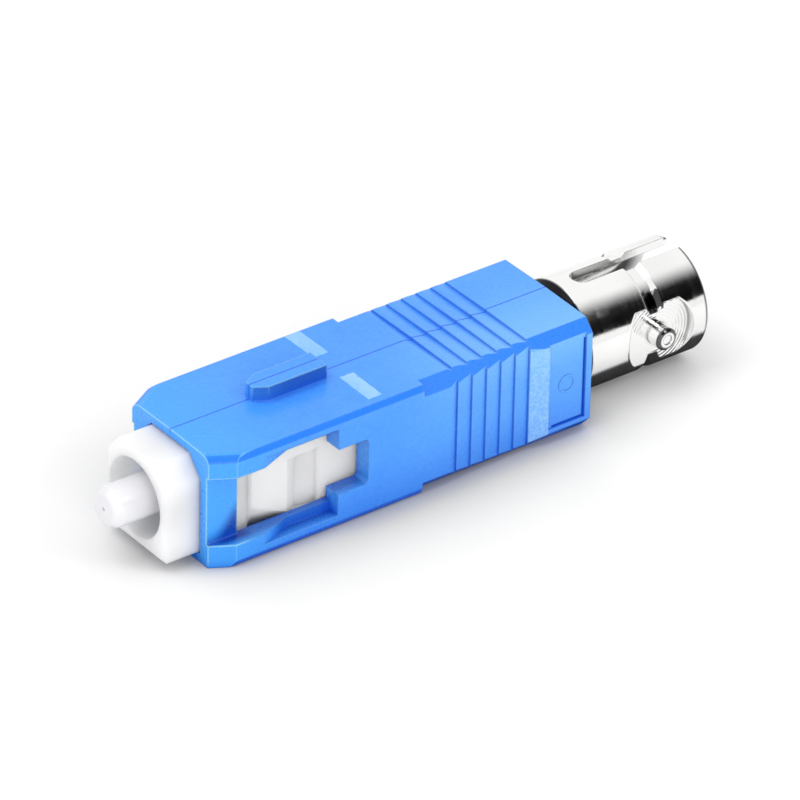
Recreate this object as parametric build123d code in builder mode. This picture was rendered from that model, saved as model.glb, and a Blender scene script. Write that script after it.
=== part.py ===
from build123d import *
import os

# Male to female fibre adapter: a square push-pull plug at one end, a round bayonet port at the other.
# Millimetres. The optical axis is the X axis, with the plug's end at -X and the bayonet port at +X.
# The plug's key points to +Z. X = 0 is the front face of the grip housing.

os.makedirs("parts", exist_ok=True)

# Grip housing: outside
housing_length = 26.3
housing_width = 8.95
housing_height = 7.3
top_draft = 0.06
front_edge_chamfer = (0.18, 0.38)
rear_edge_chamfer = (0.7, 0.75)
rear_section_length = 11.95
nose_bevel_length = 1.39
nose_bevel_depth = 0.8
nose_corner_radius = 0.6

# Grip housing: key on the top face
key_start = 5.4
key_length = 4.8
key_width = 1.6
key_height = 0.95
key_nose_width = 0.65
key_nose_length = 0.8

# Grip housing: finger teeth
tooth_count = 6
tooth_pitch = 1.05
teeth_from_rear = 9.55
tooth_run_in = 0.55
tooth_depth = 0.18
waist_depth = 0.26
ramp_from_rear = 3.0
panel_from_rear = 0.4
panel_depth = 0.12
panel_groove_width = 0.14
panel_groove_depth = 0.3
panel_groove_start = 0.3
panel_floor = -2.65
mark_radius = 0.58
mark_width = 0.12
mark_height = 0.04

# Grip housing: side windows and release cams
hoop_thickness = 2.1
hoop_face = 3.5
window_half_height = 2.2
cam_start = 3.3
cam_rise_length = 2.1
cam_depth = 0.8
cam_height = 0.67
step_at = 8.4
rear_window_half_height = 1.5
window_end = 10.5
window_corner_radius = 0.3

# Grip housing: inside, with room for the plug frame to slide in
cavity_width = 6.6
cavity_height = 6.2
rear_chamber_radius = 2.95
rear_wall = 2.0

# Plug frame
frame_front = -2.4
nose_width = 5.6
frame_height = 6.0
nose_corner = (1.0, 1.2)
shoulder_at = 3.3
shoulder_width = 6.4
frame_end = 15.4
frame_bore_radius = 2.45
frame_bore_end = 4.2
frame_shoulder_thickness = 1.1
spring_chamber_radius = 2.3
latch_pocket_start = 5.75
latch_pocket_length = 2.15
latch_pocket_top = 1.15
latch_pocket_floor = -2.5
latch_pocket_depths = (0.5, 0.3)
latch_ramp_length = 0.85
relief_length = 3.6
relief_height = 1.85
relief_depth = 0.8
relief_fade = 0.1
relief_margin = 0.2
frame_nose_chamfer = 0.22
frame_hole_clearance = 0.15

# Ferrules, holder and fibre
ferrule_radius = 1.25
ferrule_tip = -4.5
ferrule_tip_chamfer = (0.5, 0.3)
ferrule_seat_depth = 2.6
fibre_radius = 0.0625
fibre_bore_radius = 0.1
flange_radius = 2.1
flange_thickness = 1.2
flange_notch_width = 0.7
flange_notch_depth = 0.3
holder_bore_radius = 0.5
holder_radius = 1.6
holder_room = 1.4
rear_ferrule_seat_depth = 2.4
mating_from_rear = 0.8

# Spring and its stop
spring_wire_radius = 0.2
spring_turns = 4
spring_wire_sides = 8
spring_clearance = 0.15
stop_thickness = 2.0
stop_bore_clearance = 0.1

# Bayonet barrel
barrel_radius = 3.5
barrel_bore_radius = 2.95
barrel_gap = 0.45
barrel_length = 8.95
barrel_floor_thickness = 0.85
barrel_base_chamfer = 0.45
barrel_rim_fillet = 0.25
collar_radius = 2.8
neck_radius = 2.6
neck_length = 3.8
waist_from_base = 4.65
waist_length = 0.9
waist_radius = 3.25
slot_width = 1.35
slot_from_base = 1.45
lug_from_base = 5.45
lug_radius = 0.7
lug_reach = 4.05
lug_chamfer = 0.12
lug_dimple_radius = 0.32
lug_dimple_depth = 0.08
spot_radius = 2.36
spot_face = 3.0

# Lock nut, sleeve insert and split sleeve
nut_thickness = 1.4
nut_slot_width = 0.8
nut_slot_depth = 0.6
insert_radius = 2.05
insert_flange_radius = 2.4
insert_from_rear = 5.7
insert_from_base = 6.55
insert_lip = 0.4
insert_rim_chamfer = 0.2
sleeve_length = 11.4
sleeve_radius = 1.62
sleeve_wall_clearance = 0.08
sleeve_slit = 0.4
sleeve_end_clearance = 0.1
ring_thickness = 0.7
ring_bore_clearance = 0.1

# Clearances
running_clearance = 0.05
sleeve_fit = 0.01

# Sizes that follow from those above
half_width = housing_width / 2
half_height = housing_height / 2
cam_half_height = window_half_height + cam_height
flange_start = frame_bore_end + frame_shoulder_thickness
flange_end = flange_start + flange_thickness
stop_start = frame_end - stop_thickness
rear_section_start = housing_length - rear_section_length
first_valley = housing_length - teeth_from_rear
ramp_end = housing_length - ramp_from_rear
panel_end = housing_length - panel_from_rear
rear_wall_start = housing_length - rear_wall
cavity_end = frame_end + running_clearance
barrel_start = housing_length + barrel_gap
barrel_end = barrel_start + barrel_length
barrel_floor = barrel_start + barrel_floor_thickness
neck_start = housing_length - neck_length
waist_start = barrel_start + waist_from_base
slot_start = barrel_start + slot_from_base
lug_at = barrel_start + lug_from_base
insert_start = housing_length - insert_from_rear
insert_end = barrel_start + insert_from_base
holder_end = insert_start - holder_room
mating_plane = housing_length + mating_from_rear
sleeve_bore_radius = ferrule_radius + sleeve_fit
insert_bore_radius = sleeve_radius + sleeve_wall_clearance
sleeve_start = insert_start + ring_thickness + sleeve_end_clearance
front_ferrule_end = flange_start + ferrule_seat_depth
rear_ferrule_start = holder_end - rear_ferrule_seat_depth
spring_mean_radius = spring_chamber_radius - spring_clearance - spring_wire_radius
spring_length = stop_start - flange_end - 2 * spring_wire_radius
panel_middle = (ramp_end + panel_end) / 2
through_width = 2 * housing_width
through_height = 2 * housing_height


def section(chamfer_size):
    """Corners of the housing's cross-section, with its low ridge along the middle of the top face."""
    side, drop = chamfer_size
    top = half_height - top_draft
    return [
        (0, half_height),
        (half_width - side, top),
        (half_width, top - drop),
        (half_width, drop - half_height),
        (half_width - side, -half_height),
        (side - half_width, -half_height),
        (-half_width, drop - half_height),
        (-half_width, top - drop),
        (side - half_width, top),
    ]


def tooth_profile(surface, beyond, waist):
    """Outline of the metal taken off one face by the finger teeth, as (x, height) points.

    Each tooth falls away from the surface to a valley and steps back up at once, so that every
    step faces the plug's end. With a waist, each tooth also starts a little deeper than the last.
    """
    points = [(first_valley - tooth_run_in, surface)]
    for index in range(tooth_count):
        valley = first_valley + index * tooth_pitch
        start = waist * index / tooth_count
        after = waist * (index + 1) / tooth_count
        points.append((valley, surface - start - tooth_depth))
        points.append((valley, surface - after))
    if waist:
        points.append((ramp_end, surface))
    points.append((points[-1][0], beyond))
    points.append((points[0][0], beyond))
    return points


def nose_section(width):
    """Corners of the plug frame's cross-section, cut off at its two upper corners."""
    side, drop = nose_corner
    half, top = width / 2, frame_height / 2
    return [
        (side - half, top),
        (half - side, top),
        (half, top - drop),
        (half, -top),
        (-half, -top),
        (-half, top - drop),
    ]


# Grip housing
with BuildPart() as grip_housing:
    with BuildSketch(Plane.YZ):
        with BuildLine():
            Polyline(*section(front_edge_chamfer), close=True)
        make_face()
    extrude(amount=rear_section_start)
    with BuildSketch(Plane.YZ.offset(rear_section_start)):
        with BuildLine():
            Polyline(*section(rear_edge_chamfer), close=True)
        make_face()
    extrude(amount=housing_length - rear_section_start)

    # Key, with a narrowed front end
    with BuildSketch(Plane.XY):
        with BuildLine():
            Polyline(
                (key_start, key_nose_width / 2),
                (key_start + key_nose_length, key_width / 2),
                (key_start + key_length, key_width / 2),
                (key_start + key_length, -key_width / 2),
                (key_start + key_nose_length, -key_width / 2),
                (key_start, -key_nose_width / 2),
                close=True,
            )
        make_face()
    extrude(amount=half_height + key_height)

    # Bevels of the front corners
    with BuildSketch(Plane.XY.offset(-housing_height)):
        with BuildLine():
            Polyline(
                (0, half_width - nose_bevel_depth),
                (nose_bevel_length, half_width),
                (0, half_width),
                close=True,
            )
        make_face()
        mirror(about=Plane.XZ)
    extrude(amount=through_height, mode=Mode.SUBTRACT)

    # Rounding along the top of each bevel
    for side in (1, -1):
        bevel_normal = Vector(-nose_bevel_depth, side * nose_bevel_length, 0).normalized()
        bevel_top = Plane(
            origin=(0, side * (half_width - nose_bevel_depth), half_height - top_draft),
            x_dir=bevel_normal,
            z_dir=bevel_normal.cross(Vector(0, 0, 1)),
        )
        with BuildSketch(bevel_top):
            Rectangle(2 * nose_corner_radius, 2 * nose_corner_radius)
            with Locations((-nose_corner_radius, -nose_corner_radius)):
                Circle(nose_corner_radius, mode=Mode.SUBTRACT)
        extrude(amount=half_width, both=True, mode=Mode.SUBTRACT)

    # Finger teeth on the top and bottom, then on both sides
    with BuildSketch(Plane.XZ.offset(-housing_width)):
        with BuildLine():
            Polyline(*tooth_profile(half_height, housing_height, 0), close=True)
        make_face()
        with BuildLine():
            Polyline(*[(x, -z) for x, z in tooth_profile(half_height, housing_height, 0)], close=True)
        make_face()
    extrude(amount=through_width, mode=Mode.SUBTRACT)
    with BuildSketch(Plane.XY.offset(-housing_height)):
        with BuildLine():
            Polyline(*tooth_profile(half_width, housing_width, waist_depth), close=True)
        make_face()
        mirror(about=Plane.XZ)
    extrude(amount=through_height, mode=Mode.SUBTRACT)

    # Shallow panels at the rear of both sides, with a groove along two edges and a raised ring in each
    for side in (1, -1):
        panel_plane = Plane(origin=(panel_middle, side * half_width, 0), x_dir=(1, 0, 0), z_dir=(0, side, 0))
        with BuildSketch(panel_plane):
            with Locations((0, -side * (half_height + panel_floor) / 2)):
                Rectangle(panel_end - ramp_end, half_height - panel_floor)
        extrude(amount=-panel_depth, mode=Mode.SUBTRACT)
        with BuildSketch(panel_plane):
            with Locations(((panel_end - ramp_end - panel_groove_width) / 2, 0)):
                Rectangle(panel_groove_width, -2 * panel_floor)
            with Locations((panel_groove_start / 2, side * (-panel_floor - panel_groove_width / 2))):
                Rectangle(panel_end - ramp_end - panel_groove_start, panel_groove_width)
        extrude(amount=-panel_groove_depth, mode=Mode.SUBTRACT)
        with BuildSketch(panel_plane.offset(-panel_depth)):
            Circle(mark_radius)
            Circle(mark_radius - mark_width, mode=Mode.SUBTRACT)
        extrude(amount=mark_height)

    # Cavity: the hoop round the plug frame's nose, the frame's space and the rear chamber
    with BuildSketch(Plane.YZ):
        with BuildLine():
            Polyline(*nose_section(nose_width), close=True)
        make_face()
        offset(amount=2 * running_clearance, kind=Kind.INTERSECTION)
    extrude(amount=hoop_thickness, mode=Mode.SUBTRACT)
    with BuildSketch(Plane.YZ.offset(hoop_thickness)):
        Rectangle(cavity_width, cavity_height)
    extrude(amount=cavity_end - hoop_thickness, mode=Mode.SUBTRACT)
    with BuildSketch(Plane.YZ.offset(cavity_end)):
        Circle(rear_chamber_radius)
    extrude(amount=rear_wall_start - cavity_end, mode=Mode.SUBTRACT)
    with BuildSketch(Plane.YZ.offset(rear_wall_start)):
        Circle(neck_radius + running_clearance)
    extrude(amount=rear_wall, mode=Mode.SUBTRACT)

    # Side windows: recess over the hoop, tall front window and low rear window
    for side in (1, -1):
        with BuildSketch(Plane(origin=(0, side * hoop_face, 0), x_dir=(1, 0, 0), z_dir=(0, side, 0))):
            with Locations((hoop_thickness / 2, 0)):
                Rectangle(hoop_thickness, 2 * window_half_height)
        extrude(amount=half_width, mode=Mode.SUBTRACT)
    with BuildSketch(Plane.XZ.offset(-through_width / 2)):
        with Locations(((hoop_thickness + step_at) / 2, 0)):
            Rectangle(step_at - hoop_thickness, 2 * window_half_height)
    extrude(amount=through_width, mode=Mode.SUBTRACT)
    with BuildSketch(Plane.XZ.offset(-through_width / 2)):
        with Locations(((cam_start + window_end) / 2, 0)):
            RectangleRounded(window_end - cam_start, 2 * rear_window_half_height, window_corner_radius)
    extrude(amount=through_width, mode=Mode.SUBTRACT)

    # Release cams: strips beside the window that sink from the outer face towards the rear
    with BuildSketch(Plane.XY.offset(-cam_half_height)):
        with BuildLine():
            Polyline(
                (cam_start, half_width),
                (cam_start + cam_rise_length, half_width - cam_depth),
                (step_at, half_width - cam_depth),
                (step_at, housing_width),
                (cam_start, housing_width),
                close=True,
            )
        make_face()
        mirror(about=Plane.XZ)
    extrude(amount=2 * cam_half_height, mode=Mode.SUBTRACT)

grip_housing.part.label = "grip_housing"
export_step(grip_housing.part, "parts/grip_housing.step")

# Plug frame
with BuildPart() as plug_frame:
    with BuildSketch(Plane.YZ.offset(frame_front)):
        with BuildLine():
            Polyline(*nose_section(nose_width), close=True)
        make_face()
    extrude(amount=shoulder_at - frame_front)
    with BuildSketch(Plane.YZ.offset(shoulder_at)):
        Rectangle(shoulder_width, frame_height)
    extrude(amount=frame_end - shoulder_at)
    nose_rim = plug_frame.faces().sort_by(Axis.X)[0].edges()
    chamfer(nose_rim, length=frame_nose_chamfer)

    # Bore round the ferrule, hole in the inner shoulder and spring chamber
    with BuildSketch(Plane.YZ.offset(frame_front)):
        Circle(frame_bore_radius)
    extrude(amount=frame_bore_end - frame_front, mode=Mode.SUBTRACT)
    with BuildSketch(Plane.YZ.offset(frame_bore_end)):
        Circle(ferrule_radius + frame_hole_clearance)
    extrude(amount=frame_shoulder_thickness, mode=Mode.SUBTRACT)
    with BuildSketch(Plane.YZ.offset(flange_start)):
        Circle(spring_chamber_radius)
    extrude(amount=frame_end - flange_start, mode=Mode.SUBTRACT)

    # Pockets that the mating latches drop into, each with a ramp at its front, on both sides
    shoulder_face = shoulder_width / 2
    latch_front, latch_rear = latch_pocket_start, latch_pocket_start + latch_pocket_length
    front_depth, rear_depth = latch_pocket_depths
    with BuildSketch(Plane.XY.offset(latch_pocket_floor)):
        with BuildLine():
            Polyline(
                (latch_front, shoulder_face),
                (latch_front + latch_ramp_length, shoulder_face - front_depth),
                (latch_rear, shoulder_face - rear_depth),
                (latch_rear, shoulder_width),
                (latch_front, shoulder_width),
                close=True,
            )
        make_face()
        mirror(about=Plane.XZ)
    extrude(amount=latch_pocket_top - latch_pocket_floor, mode=Mode.SUBTRACT)

    # Reliefs cut off the lower corners behind the nose, fading out towards the rear
    frame_floor = -frame_height / 2
    relief_reach = shoulder_face + relief_margin
    for side in (1, -1):
        for distance, share in ((0, 1), (relief_length, relief_fade)):
            relief_corner = frame_floor + share * relief_height
            relief_inner = shoulder_face - share * relief_depth
            with BuildSketch(Plane.YZ.offset(shoulder_at + distance)):
                with BuildLine():
                    Polyline(
                        (side * shoulder_face, relief_corner),
                        (side * relief_reach, relief_corner),
                        (side * relief_reach, frame_floor - relief_margin),
                        (side * relief_inner, frame_floor - relief_margin),
                        (side * relief_inner, frame_floor),
                        close=True,
                    )
                make_face()
        loft(mode=Mode.SUBTRACT)

plug_frame.part.label = "plug_frame"
export_step(plug_frame.part, "parts/plug_frame.step")

# Front ferrule: a polished ceramic rod with a chamfered, domed tip
tip_length, tip_drop = ferrule_tip_chamfer
with BuildPart() as front_ferrule:
    with BuildSketch(Plane.XZ):
        with BuildLine():
            Polyline(
                (ferrule_tip, fibre_bore_radius),
                (ferrule_tip, ferrule_radius - tip_drop),
                (ferrule_tip + tip_length, ferrule_radius),
                (front_ferrule_end, ferrule_radius),
                (front_ferrule_end, fibre_bore_radius),
                close=True,
            )
        make_face()
    revolve(axis=Axis.X)
front_ferrule.part.label = "front_ferrule"
export_step(front_ferrule.part, "parts/front_ferrule.step")

# Rear ferrule: the ceramic stub whose end meets the mating ferrule in the split sleeve
with BuildPart() as rear_ferrule:
    with BuildSketch(Plane.XZ):
        with BuildLine():
            Polyline(
                (rear_ferrule_start, fibre_bore_radius),
                (rear_ferrule_start, ferrule_radius),
                (mating_plane - tip_length, ferrule_radius),
                (mating_plane, ferrule_radius - tip_drop),
                (mating_plane, fibre_bore_radius),
                close=True,
            )
        make_face()
    revolve(axis=Axis.X)
rear_ferrule.part.label = "rear_ferrule"
export_step(rear_ferrule.part, "parts/rear_ferrule.step")

# Ferrule holder: a turned flange and tube that joins the two ferrules
with BuildPart() as ferrule_holder:
    with BuildSketch(Plane.XZ):
        with BuildLine():
            Polyline(
                (flange_start, ferrule_radius),
                (flange_start, flange_radius),
                (flange_end, flange_radius),
                (flange_end, holder_radius),
                (holder_end, holder_radius),
                (holder_end, ferrule_radius),
                (rear_ferrule_start, ferrule_radius),
                (rear_ferrule_start, holder_bore_radius),
                (front_ferrule_end, holder_bore_radius),
                (front_ferrule_end, ferrule_radius),
                close=True,
            )
        make_face()
    revolve(axis=Axis.X)

    # Four notches in the flange's edge
    with BuildSketch(Plane.YZ.offset(flange_start)):
        with PolarLocations(flange_radius, 4):
            Rectangle(2 * flange_notch_depth, flange_notch_width)
    extrude(amount=flange_thickness, mode=Mode.SUBTRACT)
ferrule_holder.part.label = "ferrule_holder"
export_step(ferrule_holder.part, "parts/ferrule_holder.step")

# Optical fibre, from tip to tip
with BuildPart() as optical_fibre:
    with BuildSketch(Plane.YZ.offset(ferrule_tip)):
        Circle(fibre_radius)
    extrude(amount=mating_plane - ferrule_tip)
optical_fibre.part.label = "optical_fibre"
export_step(optical_fibre.part, "parts/optical_fibre.step")

# Ferrule spring, between the holder's flange and the spring stop
with BuildPart() as ferrule_spring:
    with BuildLine() as coil:
        Helix(
            pitch=spring_length / spring_turns,
            height=spring_length,
            radius=spring_mean_radius,
            center=(flange_end + spring_wire_radius, 0, 0),
            direction=(1, 0, 0),
        )
    with BuildSketch(Plane(origin=coil.line @ 0, z_dir=coil.line % 0)):
        RegularPolygon(spring_wire_radius, spring_wire_sides)
    sweep(path=coil.line, is_frenet=True)
ferrule_spring.part.label = "ferrule_spring"
export_step(ferrule_spring.part, "parts/ferrule_spring.step")

# Spring stop: a ring pressed into the rear of the plug frame
with BuildPart() as spring_stop:
    with BuildSketch(Plane.YZ.offset(stop_start)):
        Circle(spring_chamber_radius)
        Circle(holder_radius + stop_bore_clearance, mode=Mode.SUBTRACT)
    extrude(amount=stop_thickness)
spring_stop.part.label = "spring_stop"
export_step(spring_stop.part, "parts/spring_stop.step")

# Bayonet barrel: turned body with its neck, collar, waist, slot, spot faces and lugs
with BuildPart() as bayonet_barrel:
    with BuildSketch(Plane.XZ):
        with BuildLine():
            Polyline(
                (neck_start, insert_radius),
                (neck_start, neck_radius),
                (housing_length, neck_radius),
                (housing_length, collar_radius),
                (barrel_start, collar_radius),
                (barrel_start, barrel_radius - barrel_base_chamfer),
                (barrel_start + barrel_base_chamfer, barrel_radius),
                (waist_start, barrel_radius),
                (waist_start + barrel_radius - waist_radius, waist_radius),
                (waist_start + waist_length, waist_radius),
                (waist_start + waist_length + barrel_radius - waist_radius, barrel_radius),
                (barrel_end, barrel_radius),
                (barrel_end, barrel_bore_radius),
                (barrel_floor, barrel_bore_radius),
                (barrel_floor, insert_radius),
                close=True,
            )
        make_face()
    revolve(axis=Axis.X)
    rim_edges = bayonet_barrel.edges().filter_by(GeomType.CIRCLE).group_by(Axis.X)[-1]
    fillet(rim_edges.sort_by(SortBy.RADIUS)[-1], radius=barrel_rim_fillet)

    # Flat spot faces with a lug in the middle of each
    for side in (1, -1):
        spot_plane = Plane(origin=(lug_at, side * spot_face, 0), x_dir=(1, 0, 0), z_dir=(0, side, 0))
        with BuildSketch(spot_plane):
            Circle(spot_radius)
        extrude(amount=barrel_radius, mode=Mode.SUBTRACT)
        with BuildSketch(spot_plane):
            Circle(lug_radius)
        extrude(amount=lug_reach - spot_face)
        lug_end = bayonet_barrel.faces().sort_by(Axis.Y)[-1 if side > 0 else 0]
        chamfer(lug_end.edges(), length=lug_chamfer)
        with BuildSketch(Plane(origin=(lug_at, side * lug_reach, 0), x_dir=(1, 0, 0), z_dir=(0, side, 0))):
            Circle(lug_dimple_radius)
        extrude(amount=-lug_dimple_depth, mode=Mode.SUBTRACT)

    # Key slot in the top wall, round at its inner end and open at the rim
    with BuildSketch(Plane.XY):
        with Locations((slot_start + slot_width / 2, 0)):
            Circle(slot_width / 2)
        with Locations(((slot_start + slot_width / 2 + barrel_end + slot_width) / 2, 0)):
            Rectangle(barrel_end + slot_width / 2 - slot_start, slot_width)
    extrude(amount=2 * barrel_radius, mode=Mode.SUBTRACT)
bayonet_barrel.part.label = "bayonet_barrel"
export_step(bayonet_barrel.part, "parts/bayonet_barrel.step")

# Lock nut on the barrel's neck, against the inside of the housing's rear wall
with BuildPart() as lock_nut:
    with BuildSketch(Plane.YZ.offset(rear_wall_start - nut_thickness)):
        Circle(rear_chamber_radius - running_clearance)
        Circle(neck_radius, mode=Mode.SUBTRACT)
    extrude(amount=nut_thickness)

    # Two slots across its inner face for a pin wrench
    with BuildSketch(Plane.YZ.offset(rear_wall_start - nut_thickness)):
        Rectangle(2 * rear_chamber_radius, nut_slot_width)
    extrude(amount=nut_slot_depth, mode=Mode.SUBTRACT)
lock_nut.part.label = "lock_nut"
export_step(lock_nut.part, "parts/lock_nut.step")

# Sleeve insert: the tube that holds the split sleeve on the barrel's axis
with BuildPart() as sleeve_insert:
    with BuildSketch(Plane.XZ):
        with BuildLine():
            Polyline(
                (insert_start, insert_bore_radius),
                (insert_start, insert_flange_radius),
                (neck_start, insert_flange_radius),
                (neck_start, insert_radius),
                (insert_end, insert_radius),
                (insert_end, ferrule_radius + ring_bore_clearance),
                (insert_end - insert_lip, ferrule_radius + ring_bore_clearance),
                (insert_end - insert_lip, insert_bore_radius),
                close=True,
            )
        make_face()
    revolve(axis=Axis.X)
    insert_edges = sleeve_insert.edges().filter_by(GeomType.CIRCLE).group_by(Axis.X)[-1]
    chamfer(insert_edges.sort_by(SortBy.RADIUS)[-1], length=insert_rim_chamfer)
sleeve_insert.part.label = "sleeve_insert"
export_step(sleeve_insert.part, "parts/sleeve_insert.step")

# Sleeve stop ring, which keeps the split sleeve in the insert
with BuildPart() as sleeve_stop_ring:
    with BuildSketch(Plane.YZ.offset(insert_start)):
        Circle(insert_bore_radius)
        Circle(ferrule_radius + ring_bore_clearance, mode=Mode.SUBTRACT)
    extrude(amount=ring_thickness)
sleeve_stop_ring.part.label = "sleeve_stop_ring"
export_step(sleeve_stop_ring.part, "parts/sleeve_stop_ring.step")

# Split sleeve: a slit ceramic tube that lines up the two ferrules
with BuildPart() as split_sleeve:
    with BuildSketch(Plane.YZ.offset(sleeve_start)):
        Circle(sleeve_radius)
        Circle(sleeve_bore_radius, mode=Mode.SUBTRACT)
        with Locations((0, -sleeve_radius)):
            Rectangle(sleeve_slit, 2 * (sleeve_radius - fibre_radius), mode=Mode.SUBTRACT)
    extrude(amount=sleeve_length)
split_sleeve.part.label = "split_sleeve"
export_step(split_sleeve.part, "parts/split_sleeve.step")
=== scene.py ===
"""Male to female fibre adapter: finishes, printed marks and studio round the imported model.

All lengths are metres. The optical axis is the X axis, with the square plug at -X and the metal
bayonet port at +X. The plug's key points to +Z, and X = 0 is the front face of the grip housing.
"""
import logging
from dataclasses import dataclass
from enum import Enum
from functools import reduce
from typing import Dict, Sequence, Tuple, Union

import bpy
import numpy as np
from mathutils import Matrix, Vector


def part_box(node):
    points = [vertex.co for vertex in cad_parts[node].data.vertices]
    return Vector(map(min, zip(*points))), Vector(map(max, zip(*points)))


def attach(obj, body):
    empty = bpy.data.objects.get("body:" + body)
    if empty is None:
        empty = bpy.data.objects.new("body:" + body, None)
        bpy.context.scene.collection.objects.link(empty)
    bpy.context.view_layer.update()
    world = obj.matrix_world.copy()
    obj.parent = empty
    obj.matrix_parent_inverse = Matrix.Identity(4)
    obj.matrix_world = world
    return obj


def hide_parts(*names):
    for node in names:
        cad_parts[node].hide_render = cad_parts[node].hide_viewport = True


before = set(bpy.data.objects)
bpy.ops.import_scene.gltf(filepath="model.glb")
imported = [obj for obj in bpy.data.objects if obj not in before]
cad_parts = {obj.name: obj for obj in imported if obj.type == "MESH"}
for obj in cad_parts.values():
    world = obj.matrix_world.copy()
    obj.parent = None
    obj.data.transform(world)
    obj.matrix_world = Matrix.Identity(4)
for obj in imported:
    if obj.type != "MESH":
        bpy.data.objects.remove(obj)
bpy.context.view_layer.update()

LOG = logging.getLogger("adapter")
MM = 0.001

Colour = Tuple[float, float, float]
Point = Tuple[float, float, float]
Span = Tuple[float, float]
Socket = bpy.types.NodeSocket
Value = Union[float, Socket]
Tone = Union[Colour, Socket]

# Where most values of a noise and most heights of the grain lie.
NOISE_SPAN: Span = (0.3, 0.7)
GRAIN_SPAN: Span = (0.4, 1.2)
# Where a Mix node of colours has its two inputs and its output.
MIX_IN, MIX_OUT = (6, 7), 2
# Samples of the Bevel node and of the Ambient Occlusion nodes.
EDGE_SAMPLES, OPEN_SAMPLES = 6, 12


def mm(*lengths: float) -> Tuple[float, ...]:
    """Turn lengths in millimetres into metres."""
    return tuple(length * MM for length in lengths)


def from_srgb(red: int, green: int, blue: int) -> Colour:
    """Turn a colour written in display steps of 0 to 255 into linear light.

    Args:
        red: Red step.
        green: Green step.
        blue: Blue step.

    Returns:
        The three linear values, by the standard two-part display curve.
    """
    steps = np.array([red, green, blue], float) / 255.0
    linear = np.where(steps <= 0.04045, steps / 12.92, ((steps + 0.055) / 1.055) ** 2.4)
    return tuple(float(value) for value in linear)


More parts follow.
